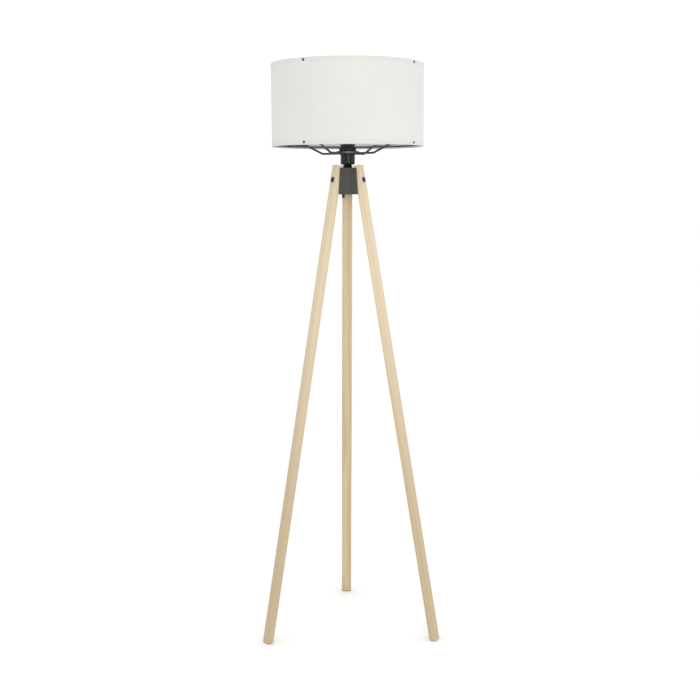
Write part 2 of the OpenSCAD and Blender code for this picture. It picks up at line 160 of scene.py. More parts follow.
# %% Turning, copying round the axis and joining
def turned(name, outline, sides=96, capped=True):
    """Turns an outline of (radius, height) round the Z axis, from a circle upwards."""
    bpy.ops.object.select_all(action="DESELECT")
    radius, height = outline[0]
    bpy.ops.mesh.primitive_circle_add(
        vertices=sides, radius=radius, location=(0, 0, height),
        fill_type="NGON" if capped else "NOTHING",
    )
    piece = added(name)
    bpy.ops.object.mode_set(mode="EDIT")
    bpy.ops.mesh.select_mode(type="VERT")
    bpy.ops.mesh.select_all(action="SELECT")
    for next_radius, next_height in outline[1:]:
        bpy.ops.mesh.extrude_region_move(
            TRANSFORM_OT_translate={"value": (0, 0, next_height - height)}
        )
        ratio = next_radius / radius
        bpy.ops.transform.resize(
            value=(ratio, ratio, 1), center_override=(0, 0, next_height)
        )
        radius, height = max(next_radius, 1e-9), next_height
    bpy.ops.object.mode_set(mode="OBJECT")
    return edited(piece, merge_doubles, face_outwards)


def turned_ring(name, outline, sides=96):
    """Turns a closed outline, which comes back to its first point, into a ring."""
    return turned(name, outline + outline[:1], sides, capped=False)


def copied(piece, name, azimuth=0.0, lift=0.0):
    """A copy with its own mesh, turned round the lamp's axis and raised."""
    only(piece)
    bpy.ops.object.duplicate()
    copy = bpy.context.object
    copy.rotation_euler.z = math.radians(azimuth)
    copy.location.z = lift
    return added(name)


def joined(name, pieces):
    """Joins pieces into one object."""
    bpy.ops.object.select_all(action="DESELECT")
    for piece in pieces:
        piece.select_set(True)
    bpy.context.view_layer.objects.active = pieces[0]
    bpy.ops.object.join()
    return added(name)


def set_round(name, piece, azimuths):
    """Stands copies of a piece at azimuths, joins them and removes the original."""
    copies = [copied(piece, f"{name}_{i}", a) for i, a in enumerate(azimuths)]
    bpy.data.objects.remove(piece)
    return joined(name, copies)


def finished(piece, body, material, smooth=35, replaces=()):
    """Gives a piece its finish, hangs it on the body it rides on and hides the CAD parts it replaces.
    """
    piece.data.materials.clear()
    piece.data.materials.append(material)
    only(piece)
    bpy.ops.object.shade_smooth_by_angle(angle=math.radians(smooth))
    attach(piece, body)
    if replaces:
        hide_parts(*replaces)
    print(piece.name, "has", len(piece.data.polygons), "faces")
    return piece


def height_span(node):
    """A CAD node's lowest and highest height."""
    low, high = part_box(node)
    return low.z, high.z


def outer_radius(node):
    """How far a round CAD node reaches from the lamp's axis."""
    low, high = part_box(node)
    return max(high.x, high.y, -low.x, -low.y)


# %% [markdown]
# ## Material tools
#
# A finish is a small program of nodes. Wrapping a socket in a class lets Python's own
# arithmetic write the Math nodes, so a weave or a wood grain reads as a formula. Every
# other node comes from one method, `make`, which sets the node and joins its inputs.


# %% Shader arithmetic
class Value:
    """A number that changes over a surface, carried by a socket."""

    def __init__(self, finish, socket):
        self.finish = finish
        self.socket = socket

    def math(self, operation, *operands):
        return self.finish.make("Math", {"operation": operation}, dict(enumerate(operands)))

    def __add__(self, other):
        return self.math("ADD", self, other)

    def __sub__(self, other):
        return self.math("SUBTRACT", self, other)

    def __rsub__(self, other):
        return self.math("SUBTRACT", other, self)

    def __mul__(self, other):
        return self.math("MULTIPLY", self, other)

    def __pow__(self, other):
        return self.math("POWER", self, other)

    __radd__ = __add__
    __rmul__ = __mul__

    def sine(self):
        return self.math("SINE", self)

    def size(self):
        return self.math("ABSOLUTE", self)

    def between(self, low, high):
        """0 below low, 1 above high and a smooth step in between."""
        return self.finish.make(
            "MapRange", {"interpolation_type": "SMOOTHSTEP"},
            {"Value": self, "From Min": low, "From Max": high},
        )


class Finish:
    """A procedural material built up node by node."""

    def __init__(self, name, **constants):
        self.material = bpy.data.materials.new(name)
        self.material.use_nodes = True
        self.tree = self.material.node_tree
        self.shader = self.tree.nodes["Principled BSDF"]
        for socket, value in constants.items():
            self.shader.inputs[socket.replace("_", " ")].default_value = value

    def make(self, kind, settings=None, inputs=None, output=0):
        """Adds a node, sets it, joins or fills its inputs and gives one output."""
        node = self.tree.nodes.new("ShaderNode" + kind)
        for name, value in (settings or {}).items():
            setattr(node, name, value)
        for name, value in (inputs or {}).items():
            self.feed(node.inputs[name], value)
        return Value(self, node.outputs[output])

    def feed(self, socket, value):
        if isinstance(value, Value):
            self.tree.links.new(value.socket, socket)
        elif hasattr(value, "__len__") and socket.type == "RGBA":
            socket.default_value = (*value[:3], 1)
        else:
            socket.default_value = value

    def place(self):
        """The surface's own place, in metres."""
        return self.make("TexCoord", output="Object")

    def parts(self, vector):
        """A vector's x, y and z."""
        node = self.make("SeparateXYZ", inputs={"Vector": vector}).socket.node
        return [Value(self, socket) for socket in node.outputs]

    def noise(self, vector, scale, detail=2.0, roughness=0.5):
        """Soft random values from 0 to 1."""
        inputs = {"Vector": vector, "Scale": scale, "Detail": detail, "Roughness": roughness}
        return self.make("TexNoise", inputs=inputs)

    def stretched(self, vector, by):
        """Squeezes a pattern by a factor along each axis."""
        return self.make("Mapping", inputs={"Vector": vector, "Scale": by})

    def blend(self, factor, first, second):
        """Mixes two colours."""
        inputs = {0: factor, 6: first, 7: second}
        return self.make("Mix", {"data_type": "RGBA"}, inputs, output=2)

    def colour(self, value):
        self.feed(self.shader.inputs["Base Color"], value)
        return self

    def roughness(self, value):
        self.feed(self.shader.inputs["Roughness"], value)
        return self

    def bump(self, height, distance):
        """Raises the surface by a height from 0 to 1, times a distance in metres."""
        inputs = {"Height": height, "Distance": distance, "Strength": 1.0}
        normal = self.make("Bump", inputs=inputs)
        self.tree.links.new(normal.socket, self.shader.inputs["Normal"])
        return self


# %% [markdown]
# ## Cloth
#
# The shade is covered in a plain off-white cotton laminated to a stiff film. Close to,
# threads cross over and under each other about half a millimetre apart, and here and
# there a thicker thread runs up the cloth. Wrapping the pattern round the drum is a
# matter of measuring along the surface: the angle times the radius, and the height.


# %% Woven cotton
def woven(name, radius, pitch, light, dark, depth):
    """Plain-woven cloth wrapped round the lamp's axis at a radius."""
    cloth = Finish(name, Roughness=0.92, Sheen_Weight=0.25, Specular_IOR_Level=0.2)
    place = cloth.place()
    x, y, z = cloth.parts(place)
    around = cloth.make("Math", {"operation": "ARCTAN2"}, {0: y, 1: x}) * radius
    waves = math.pi / pitch
    warp = (around * waves).sine()
    weft = (z * waves).sine()
    over = warp * weft * 0.5 + 0.5
    ridges = (warp.size() + weft.size()) * 0.5
    sheet = cloth.make("CombineXYZ", inputs={0: around, 1: z, 2: 0.0})
    slubs_up = cloth.noise(cloth.stretched(sheet, (900, 22, 1)), 1.0, 3.0)
    slubs_across = cloth.noise(cloth.stretched(sheet, (18, 900, 1)), 1.0, 3.0)
    patches = cloth.noise(place, 9.0, 2.0)
    tone = slubs_up * 0.45 + slubs_across * 0.3 + patches * 0.25
    cloth.colour(cloth.blend(tone.between(0.3, 0.7), dark, light))
    cloth.bump(over * 0.5 + ridges * 0.3 + slubs_up.between(0.6, 0.85) * 0.5, depth)
    return cloth.material


shade_radius = outer_radius("shade_cloth")
cotton = woven(
    "off_white_cotton", shade_radius, pitch=0.45 * MM,
    light=(0.69, 0.68, 0.65), dark=(0.64, 0.63, 0.60), depth=0.12 * MM,
)
hem_cotton = woven(
    "hem_cotton", shade_radius, pitch=0.38 * MM,
    light=(0.665, 0.66, 0.635), dark=(0.61, 0.605, 0.58), depth=0.10 * MM,
)


# %% White film behind the cloth, and felt
def film(name):
    """Smooth white film with the faintest waves from the laminating rollers."""
    sheet = Finish(name, Roughness=0.5, Specular_IOR_Level=0.35)
    place = sheet.place()
    waves = sheet.noise(sheet.stretched(place, (14, 14, 60)), 1.0, 1.0)
    sheet.colour(sheet.blend(waves, (0.80, 0.80, 0.78), (0.74, 0.74, 0.72)))
    sheet.bump(waves, 0.15 * MM)
    return sheet.material


def pressed_felt(name):
    """Short tangled fibres, mottled brown."""
    felt = Finish(name, Roughness=1.0, Sheen_Weight=0.4, Specular_IOR_Level=0.1)
    place = felt.place()
    fibres = felt.noise(place, 1400.0, 4.0, 0.7)
    mottle = felt.noise(place, 220.0, 2.0)
    felt.colour(felt.blend(fibres * 0.6 + mottle * 0.4, (0.11, 0.085, 0.06), (0.27, 0.22, 0.17)))
    felt.bump(fibres, 0.3 * MM)
    return felt.material


white_film = film("white_film")
brown_felt = pressed_felt("brown_felt")

# %% [markdown]
# ## Black parts
#
# The lamp has several blacks, and they shouldn't look alike: powder coat on the wire is
# finely dimpled, the thermoset lamp holder is smooth and half glossy, the cast hub is a
# charcoal with a sandy texture, and the moulded cover underneath is dull.


# %% Coated and moulded blacks
def coated(name, dark, light, grain, depth, rough, shine=0.5):
    """A painted or moulded surface: fine dimples, and a gloss that varies a little."""
    paint = Finish(name, Specular_IOR_Level=shine)
    place = paint.place()
    dimples = paint.noise(place, grain, 3.0, 0.6)
    smears = paint.noise(place, 45.0, 2.0)
    paint.colour(paint.blend(smears * 0.6 + dimples * 0.4, dark, light))
    paint.roughness(smears * 0.16 + (rough - 0.08))
    paint.bump(dimples, depth)
    return paint.material


powder_black = coated(
    "powder_black", (0.020, 0.020, 0.020), (0.040, 0.040, 0.040), 1500.0, 0.05 * MM, 0.42,
)
thermoset_black = coated(
    "thermoset_black", (0.005, 0.005, 0.005), (0.012, 0.012, 0.012), 600.0, 0.01 * MM, 0.27, 0.32,
)
# The neck collar's near-black with little shine is partly its own black and partly painted shade,
# where it sits tucked between the cup and the hub.
neck_black_painted_shade = coated(
    "neck_black_painted_shade", (0.002, 0.002, 0.002), (0.005, 0.005, 0.004), 600.0, 0.01 * MM, 0.55, 0.12,
)
cast_charcoal = coated(
    "cast_charcoal", (0.038, 0.035, 0.031), (0.071, 0.065, 0.058), 1100.0, 0.12 * MM, 0.55, 0.35,
)
moulded_black = coated(
    "moulded_black", (0.016, 0.016, 0.017), (0.030, 0.030, 0.031), 900.0, 0.03 * MM, 0.60, 0.4,
)
lacquer_black = coated(
    "lacquer_black", (0.010, 0.010, 0.011), (0.022, 0.022, 0.024), 500.0, 0.01 * MM, 0.28,
)
oxide_black = coated(
    "oxide_black", (0.018, 0.014, 0.010), (0.038, 0.031, 0.023), 800.0, 0.02 * MM, 0.38, 0.4,
)

# %% [markdown]
# ## Metals, ceramic and glass
#
# Brass and zinc plate show their making: the turned parts have fine rings round the
# axis, and both dull in patches where they have been handled. The bulb is opal, so it
# is white and smooth rather than clear.


# %% Bare metals
def metal(name, bright, dull, rough, ring_scale=2500.0):
    """Turned metal: fine rings round the axis and slightly dulled patches."""
    bare = Finish(name, Metallic=1.0)
    place = bare.place()
    rings = bare.noise(bare.stretched(place, (40, 40, ring_scale)), 1.0, 2.0)
    handling = bare.noise(place, 120.0, 3.0)
    bare.colour(bare.blend(handling, bright, dull))
    bare.roughness(handling * 0.2 + rings * 0.1 + (rough - 0.15))
    bare.bump(rings, 0.01 * MM)
    return bare.material


brass = metal("turned_brass", (0.83, 0.63, 0.30), (0.62, 0.46, 0.22), 0.3)
zinc_plate = metal("zinc_plate", (0.62, 0.63, 0.65), (0.46, 0.47, 0.49), 0.38)
cap_aluminium = metal("cap_aluminium", (0.82, 0.82, 0.83), (0.68, 0.68, 0.69), 0.3)


# %% Ceramic and opal glass
def glazeless_ceramic(name):
    """Pressed ceramic: warm white with fine specks."""
    body = Finish(name, Roughness=0.8)
    place = body.place()
    specks = body.noise(place, 2600.0, 2.0).between(0.62, 0.75)
    body.colour(body.blend(specks, (0.78, 0.75, 0.68), (0.55, 0.50, 0.42)))
    body.bump(body.noise(place, 900.0, 3.0), 0.05 * MM)
    return body.material


def opal(name):
    """White glass under a smooth skin, slightly uneven as blown glass is."""
    glass = Finish(name, Roughness=0.16, Coat_Weight=0.4, Coat_Roughness=0.05)
    place = glass.place()
    swirl = glass.noise(place, 30.0, 2.0)
    glass.colour(glass.blend(swirl, (0.86, 0.86, 0.84), (0.80, 0.80, 0.78)))
    glass.bump(swirl, 0.08 * MM)
    return glass.material


ceramic = glazeless_ceramic("pressed_ceramic")
opal_glass = opal("opal_glass")

# %% [markdown]
# ## Wood
#
# The legs are sawn from a pale hardwood and lacquered matt. A leg's grain runs along
# it, so the pattern is first turned to lie with the leg: x across its face, y through
# its thickness and z up its length. Growth rings are cylinders round a pith well
# outside the leg, so they cross it as long, nearly straight lines, with short darker
# flecks between them. Each leg is cut from another part of the board, so its pith lies
# elsewhere, and the right leg is a little lighter all over. Painted light is mixed into
# the wood as well: paler towards the top and darker towards the foot, where the studio
# light falls off, strongly on the two front legs and faintly on the back one.

# %% Where each leg's grain lies
leg_splay = math.radians(10.2)
leg_seat_radius = 22 * MM
hub_low_z, hub_top_z = height_span("hub")


def leg_turn(azimuth):
    """How a leg at an azimuth is turned: leaned outwards, then swung round."""
    return Euler((-leg_splay, 0, math.radians(azimuth)), "XYZ")


def leg_seat(azimuth):
    """The point where a leg's inner face meets the hub's top."""
    a = math.radians(azimuth)
    return Vector((leg_seat_radius * math.sin(a), -leg_seat_radius * math.cos(a), hub_top_z))


def along_front_leg(piece):
    """Moves a piece from the leg's own axes to where the front leg would be."""
    piece.matrix_world = Matrix.LocRotScale(leg_seat(0), leg_turn(0), None) @ piece.matrix_world
    return settled(piece)


# %% Pale lacquered wood
def leg_wood(name, azimuth, pith, tone, painted_light_share):
    """Wood whose grain follows a leg; pith is the tree's middle, in the leg's own axes.
    The last argument is the share of painted light mixed in: paler up the leg, darker at its foot.
    """
    def toned(red, green, blue):
        return (red * tone, green * tone, blue * tone)

    wood = Finish(name, Roughness=0.5, Specular_IOR_Level=0.35)
    along = wood.make(
        "Mapping", {"vector_type": "TEXTURE"},
        {"Vector": wood.place(), "Location": leg_seat(azimuth), "Rotation": leg_turn(azimuth)},
    )
    x, y, z = wood.parts(along)
    bend = wood.noise(wood.stretched(along, (9, 9, 1.6)), 1.0, 2.0) * 0.02
    from_pith = ((x - pith[0] + bend) ** 2 + (y - pith[1] + bend) ** 2) ** 0.5
    ring = (from_pith * (2 * math.pi / 0.0042)).sine() * 0.5 + 0.5
    late_wood = ring ** 3
    fibre = wood.noise(wood.stretched(along, (700, 700, 14)), 1.0, 4.0, 0.6)
    streak = wood.noise(wood.stretched(along, (70, 70, 1.3)), 1.0, 3.0)
    fleck = wood.noise(wood.stretched(along, (520, 520, 38)), 1.0, 2.0).between(0.66, 0.74)
    pale = wood.blend(streak.between(0.3, 0.7), toned(0.63, 0.525, 0.345), toned(0.575, 0.455, 0.275))
    grain = late_wood * 0.45 + fibre * 0.35
    shaded = wood.blend(grain, pale, toned(0.46, 0.335, 0.185))
    flecked = wood.blend(fleck * 0.35, shaded, toned(0.33, 0.20, 0.10))
    # Painted light: paler towards the top of the leg and darker towards its foot, where the studio
    # light falls off.
    painted_light_gradient = wood.blend(z.between(-1.1, 0.0), toned(0.34, 0.25, 0.15), toned(0.88, 0.80, 0.62))
    wood.colour(wood.blend(painted_light_share, flecked, painted_light_gradient))
    wood.roughness(fibre * 0.18 + 0.40)
    wood.bump(late_wood * 0.3 + fibre * 0.7, 0.06 * MM)
    return wood.material


# The right leg is a little lighter all over. The last number is each leg's share of painted light,
# paler towards the top: strong on the front legs, faint on the back one.
leg_woods = {
    "leg_left": leg_wood("wood_left", -60, (0.045, 0.030), 1.0, 0.30),
    "leg_right": leg_wood("wood_right", 60, (-0.060, 0.022), 1.04, 0.32),
    "leg_back": leg_wood("wood_back", 180, (0.020, -0.055), 1.0, 0.08),
}

# %% [markdown]
# ## The shade's cloth and liner
#
# A drum shade is a strip of laminated cloth rolled into a cylinder, with its ends
# lapped over each other and glued, usually turned to the back. So the cloth is a
# cylinder without ends whose last few faces are pulled out a little to make that lap,
# and then given its thickness.

# %% Cloth
cloth_low_z, cloth_high_z = height_span("shade_cloth")
cloth_thickness = 0.8 * MM
liner_thickness = 0.6 * MM
shade_sides = 240
lap_azimuth = 172
lap_width = 12 * MM


def drum(name, radius, low, high, sides=shade_sides):
    """A cylinder without ends, cut into bands so that it can be shaped."""
    bpy.ops.object.select_all(action="DESELECT")
    bpy.ops.mesh.primitive_cylinder_add(
        vertices=sides, radius=radius, depth=high - low,
        location=(0, 0, (low + high) / 2), end_fill_type="NOTHING",
    )
    return added(name)


def select_faces(piece, wanted):
    """Leaves edit mode's selection as just the faces that wanted says yes to."""
    only(piece)
    bpy.ops.object.mode_set(mode="EDIT")
    bpy.ops.mesh.select_mode(type="FACE")
    bpy.ops.mesh.select_all(action="DESELECT")
    bpy.ops.object.mode_set(mode="OBJECT")
    for face in piece.data.polygons:
        face.select = wanted(face)
    bpy.ops.object.mode_set(mode="EDIT")


def azimuth_of(point):
    """The angle of a point round the lamp, from the front towards +X, in degrees."""
    return math.degrees(math.atan2(point.x, -point.y))


cloth = drum("shade_fabric", shade_radius - cloth_thickness, cloth_low_z, cloth_high_z)
modified(cloth, "SOLIDIFY", thickness=cloth_thickness, offset=1.0, use_even_offset=True)
lap_half_angle = math.degrees(lap_width / 2 / shade_radius)
lap_in = 0.25 * MM
select_faces(
    cloth,
    lambda face: abs(face.normal.z) < 0.5
    and face.normal.dot(Vector((face.center.x, face.center.y, 0))) > 0
    and abs(azimuth_of(face.center) - lap_azimuth) < lap_half_angle,
)
bpy.ops.mesh.extrude_region_shrink_fatten(TRANSFORM_OT_shrink_fatten={"value": lap_in})
bpy.ops.object.mode_set(mode="OBJECT")
finished(cloth, "shade", cotton, 30, ["shade_cloth"])

# %% Liner
liner_radius = outer_radius("shade_liner")
liner = drum("shade_lining", liner_radius - liner_thickness, cloth_low_z, cloth_high_z)
modified(liner, "SOLIDIFY", thickness=liner_thickness, offset=1.0, use_even_offset=True)
finished(liner, "shade", white_film, 30, ["shade_liner"])

# %% [markdown]
# ## Hem tapes
#
# Each edge of the shade is bound by a cotton tape folded over it. Seen from outside it
# is a ten-millimetre band that stands a hair proud of the cloth, with a soft fold at
# the edge. It is turned from an outline that goes up the outside, over the edge and
# down the inside, with its corners rounded.

# %% Hems
hem_reach = outer_radius("shade_top_hem")
hem_inside = shade_radius - cloth_thickness - liner_thickness - (hem_reach - shade_radius)


def hem(name, node, edge, far):
    """A folded tape round an edge: edge is the fold's height, far the tape's other side."""
    way = 1 if far > edge else -1
    fold = 0.5 * MM
    tape = hem_reach - shade_radius
    outline = [
        (hem_reach, far - way * 0.2 * MM),
        (hem_reach, edge + way * fold),
        (hem_reach - fold * 0.4, edge + way * fold * 0.3),
        (hem_reach - fold, edge),
        (hem_inside + fold, edge),
        (hem_inside + fold * 0.4, edge + way * fold * 0.3),
        (hem_inside, edge + way * fold),
        (hem_inside, far - way * 0.2 * MM),
        (hem_inside + tape, far),
        (hem_inside + tape, edge + way * tape),
        (shade_radius, edge + way * tape),
        (shade_radius, far),
    ]
    band = turned_ring(name, outline, shade_sides)
    return finished(band, "shade", hem_cotton, 50, [node])


top_low_z, top_high_z = height_span("shade_top_hem")
bottom_low_z, bottom_high_z = height_span("shade_bottom_hem")
hem("top_hem_tape", "shade_top_hem", top_high_z, top_low_z)
hem("bottom_hem_tape", "shade_bottom_hem", bottom_low_z, bottom_high_z)

# %% [markdown]
# ## Rings and rivets
#
# Two hoops of wire hold the drum round. Each is bent from straight wire and its ends
# are butt welded, which leaves a small swelling. Black rivets, four at each edge, pass
# through the hem and hold the clips that carry the hoops.

# %% Hoops
ring_wire = 4 * MM
shade_turn = 55
rivet_azimuths = [shade_turn + 90 * i for i in range(4)]


def hoop(name, node, weld_azimuth):
    """A wire hoop with the swelling of its butt weld."""
    low, high = height_span(node)
    middle = (low + high) / 2
    radius = outer_radius(node) - ring_wire / 2
    bpy.ops.object.select_all(action="DESELECT")
    bpy.ops.mesh.primitive_torus_add(
        major_radius=radius, minor_radius=ring_wire / 2, major_segments=240,
        minor_segments=20, location=(0, 0, middle),
    )
    ring = added(name)
    weld = Matrix.Rotation(math.radians(weld_azimuth), 4, "Z") @ Vector((0, -radius, middle))
    select_faces(ring, lambda face: (face.center - weld).length < ring_wire * 0.9)
    bpy.ops.transform.shrink_fatten(value=0.12 * MM)
    bpy.ops.object.mode_set(mode="OBJECT")
    return finished(ring, "shade", powder_black, 60, [node])


hoop("top_hoop", "shade_top_ring", 20)
hoop("bottom_hoop", "shade_bottom_ring", 100)


# %% Rivets
def outer_radius_of_group(node):
    """How far the farthest point of a node is from the lamp's axis."""
    return max(Vector((v.co.x, v.co.y)).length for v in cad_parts[node].data.vertices)


def rivet_set(name, node):
    """Round-headed rivets: domed head outside, shank, and an upset tail inside."""
    low, high = height_span(node)
    head = (high - low) / 2
    middle = (low + high) / 2
    out = outer_radius_of_group(node) - hem_reach
    shank = 1.5 * MM
    grip = hem_reach - hem_inside + 0.65 * MM
    outline = [
        (0.8 * shank, -grip - 0.9 * MM), (1.6 * shank, -grip - 0.4 * MM),
        (1.6 * shank, -grip), (shank, -grip), (shank, 0),
        (head * 0.97, 0), (head, 0.12 * out), (head * 0.96, 0.35 * out),
        (head * 0.80, 0.68 * out), (head * 0.55, 0.88 * out), (head * 0.25, 0.98 * out),
        (0, out),
    ]
    rivet = turned(name, outline, 40)
    rivet.rotation_euler.x = math.pi / 2
    rivet.location = (0, -hem_reach, middle)
    settled(rivet)
    group = set_round(name, rivet, rivet_azimuths)
    return finished(group, "shade", lacquer_black, 50, [node])


rivet_set("top_edge_rivets", "top_rivets")
rivet_set("bottom_edge_rivets", "bottom_rivets")

# %% [markdown]
# ## The spider
#
# Four arms of round wire carry the shade on the lamp holder. Each runs in from the
# lower hoop, bends down, bends level again at its knee and is welded to the fitter
# ring. It is modelled as the wire is bent: a disc is extruded along the straights and
# spun round each bend.

# %% Arms
arm_wire = 5.5 * MM
bend_from_axis = 125 * MM
knee_from_axis = 76 * MM
bend_radius = 8 * MM
hoop_low, hoop_high = height_span("shade_bottom_ring")
hoop_z = (hoop_low + hoop_high) / 2
hoop_inner = outer_radius("shade_bottom_ring") - ring_wire
fitter_low, fitter_high = height_span("fitter_ring")
fitter_z = (fitter_low + fitter_high) / 2
fitter_radius = outer_radius("fitter_ring")
weld_depth = 0.4 * MM
slope = math.atan2(hoop_z - fitter_z, bend_from_axis - knee_from_axis)
tangent = bend_radius * math.tan(slope / 2)


def extrude_by(y, z):
    bpy.ops.mesh.extrude_region_move(TRANSFORM_OT_translate={"value": (0, y, z)})


def spin_wire(angle, centre_y, centre_z):
    """Carries the selected disc round a bend, downwards where the angle is positive."""
    bpy.ops.mesh.spin(
        steps=8, angle=angle, center=(0, centre_y, centre_z), axis=(1, 0, 0), dupli=False
    )


def bent_arm(name):
    """One arm at the front, from the hoop in to the fitter ring."""
    start_y = -(hoop_inner + weld_depth)
    bpy.ops.object.select_all(action="DESELECT")
    bpy.ops.mesh.primitive_circle_add(
        vertices=24, radius=arm_wire / 2, fill_type="NGON",
        location=(0, start_y, hoop_z), rotation=(math.pi / 2, 0, 0),
    )
    arm = added(name)
    bpy.ops.object.mode_set(mode="EDIT")
    bpy.ops.mesh.select_mode(type="FACE")
    bpy.ops.mesh.select_all(action="SELECT")
    bend_y = -(bend_from_axis + tangent)
    knee_y = -(knee_from_axis - tangent)
    extrude_by(bend_y - start_y, 0)
    spin_wire(slope, bend_y, hoop_z - bend_radius)
    run_y = (knee_y - bend_y) - 2 * bend_radius * math.sin(slope)
    extrude_by(run_y, -run_y * math.tan(slope))
    spin_wire(-slope, knee_y, fitter_z + bend_radius)
    extrude_by(-(fitter_radius - weld_depth) - knee_y, 0)
    bpy.ops.object.mode_set(mode="OBJECT")
    return edited(arm, merge_doubles, face_outwards)


arm_nodes = ["arm_front_right", "arm_back_right", "arm_back_left", "arm_front_left"]
first_arm = bent_arm("bent_arm")
for node, azimuth in zip(arm_nodes, rivet_azimuths):
    arm = copied(first_arm, node.replace("arm", "wire_arm"), azimuth)
    finished(arm, "shade", powder_black, 60, [node])
bpy.data.objects.remove(first_arm)

# %% Fitter ring
sleeve_radius = 19.4 * MM
fitter = turned_ring("fitter_band", [
    (sleeve_radius, fitter_low), (fitter_radius, fitter_low),
    (fitter_radius, fitter_high), (sleeve_radius, fitter_high),
])
bevelled(fitter, 0.5 * MM)
finished(fitter, "shade", powder_black, 40, ["fitter_ring"])

# %% [markdown]
# ## The ring nut
#
# The black ring nut clamps the fitter ring on the lamp holder. Below it is a flat
# flange, and above it a collar with broad ribs for the fingers. The ribs are made as
# they would be cut: alternate groups of the collar's side faces are pushed outwards.

# %% Ring nut
nut_low, nut_high = height_span("ring_nut")
nut_flange_radius = outer_radius("ring_nut")
nut_flange_height = 2.4 * MM
nut_collar_radius = 20.9 * MM
rib_count = 20
rib_height = 0.7 * MM
rib_end = 0.8 * MM
faces_per_rib = 6

nut = turned_ring("shade_ring_nut", [
    (sleeve_radius, nut_low), (nut_flange_radius, nut_low),
    (nut_flange_radius, nut_low + nut_flange_height),
    (nut_collar_radius, nut_low + nut_flange_height),
    (nut_collar_radius, nut_low + nut_flange_height + rib_end),
    (nut_collar_radius, nut_high - rib_end),
    (nut_collar_radius, nut_high), (sleeve_radius, nut_high),
], rib_count * faces_per_rib)


def is_rib(face):
    """Whether a face is on the collar's middle band and in one of its ribs."""
    out = Vector((face.center.x, face.center.y, 0))
    if abs(out.length - nut_collar_radius) > 0.1 * MM or abs(face.normal.z) > 0.5:
        return False
    middle_band = nut_low + nut_flange_height + rib_end < face.center.z < nut_high - rib_end
    if not middle_band:
        return False
    step = 360 / rib_count
    return (azimuth_of(face.center) % step) < step / 2


select_faces(nut, is_rib)
bpy.ops.mesh.extrude_region_shrink_fatten(TRANSFORM_OT_shrink_fatten={"value": rib_height})
bpy.ops.object.mode_set(mode="OBJECT")
bevelled(nut, 0.25 * MM, 2, 25)
finished(nut, "nut", thermoset_black, 35, ["ring_nut"])

# %% [markdown]
# ## The lamp holder and its neck
#
# The holder is a black thermoset moulding: a rounded cup below and a skirt with a
# coarse rounded thread above, on which the ring nut runs. A fine groove runs round the
# cup, and a short collar joins it to the hub.

# %% Skirt
skirt_low, skirt_high = height_span("holder_skirt")
seat_z = fitter_low - 0.1 * MM
shoulder_radius = outer_radius("holder_skirt")
skirt_radius = 19 * MM
skirt_bore = 14.2 * MM
spigot_radius = 16.15 * MM
shoulder_low = seat_z - 2 * MM
thread_pitch = 2.5 * MM
thread_depth = 0.45 * MM
chamfer = 0.4 * MM
thread_start = nut_high + 0.3 * MM


def thread_outline(start, stop):
    """A rounded thread's outline, up the outside from one height to another."""
    steps = 8
    count = int((stop - start) / thread_pitch * steps)
    points = []
    for i in range(count + 1):
        dip = (1 - math.cos(2 * math.pi * i / steps)) / 2
        points.append((skirt_radius - thread_depth * dip, start + thread_pitch * i / steps))
    return points


skirt = turned_ring("holder_thread_skirt", [
    (skirt_bore, skirt_low), (spigot_radius, skirt_low), (spigot_radius, shoulder_low),
    (shoulder_radius - chamfer, shoulder_low), (shoulder_radius, shoulder_low + chamfer),
    (shoulder_radius, seat_z - chamfer), (shoulder_radius - chamfer, seat_z),
    (skirt_radius, seat_z),
    *thread_outline(thread_start, skirt_high - 1 * MM),
    (skirt_radius - thread_depth, skirt_high - 0.5 * MM),
    (skirt_radius - 1 * MM, skirt_high), (skirt_bore + 0.5 * MM, skirt_high),
    (skirt_bore, skirt_high - 0.5 * MM),
])
finished(skirt, "stand", thermoset_black, 40, ["holder_skirt"])

# %% Cup
cup_low, cup_high = height_span("holder_body")
cup_radius = outer_radius("holder_body")
cup_corner = 4 * MM
cup_floor = 3 * MM
tube_hole = 5.1 * MM
groove_z = cup_low + 0.45 * (cup_high - cup_low)
groove_depth = 0.35 * MM
corner_steps = 8
rounded_corner = [
    (
        cup_radius - cup_corner + cup_corner * math.sin(math.pi / 2 * i / corner_steps),
        cup_low + cup_corner - cup_corner * math.cos(math.pi / 2 * i / corner_steps),
    )
    for i in range(corner_steps + 1)
]
cup = turned_ring("holder_cup", [
    (tube_hole, cup_low), *rounded_corner,
    (cup_radius, groove_z), (cup_radius - groove_depth, groove_z + 0.3 * MM),
    (cup_radius - groove_depth, groove_z + 1.1 * MM), (cup_radius, groove_z + 1.4 * MM),
    (cup_radius, cup_high - 0.3 * MM), (cup_radius - 0.3 * MM, cup_high),
    (spigot_radius, cup_high), (spigot_radius, cup_low + cup_floor),
    (tube_hole, cup_low + cup_floor),
])
finished(cup, "stand", thermoset_black, 40, ["holder_body"])

# %% Neck collar
neck_low, neck_high = height_span("neck_collar")
neck_radius = outer_radius("neck_collar")
neck = turned_ring("neck_spacer", [
    (tube_hole, neck_low), (neck_radius, neck_low),
    (neck_radius, neck_high), (tube_hole, neck_high),
])
bevelled(neck, 0.8 * MM)
# The neck's black is darkened past its own colour: painted shade between the cup and the hub.
finished(neck, "stand", neck_black_painted_shade, 40, ["neck_collar"])

# %% [markdown]
# ## The hub
#
# The hub is one casting: three arms, each with a slot that grips a leg between two
# cheeks, and three flat webs between them. Each arm is a box whose top is drawn in
# towards the axis. The boxes are united, the slots are cut along the leaning legs,
# every edge is rounded as a casting's is, and last the recess for the cover is cut.

# %% Hub
hub_height = hub_top_z - hub_low_z
leg_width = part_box("leg_back")[1].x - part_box("leg_back")[0].x
slot_width = leg_width + 0.2 * MM
cheek_thickness = 3.5 * MM
cheek_low_radius = 35.7 * MM
cheek_top_radius = 31.5 * MM
web_radius = 25.4 * MM
cover_thickness = 3 * MM


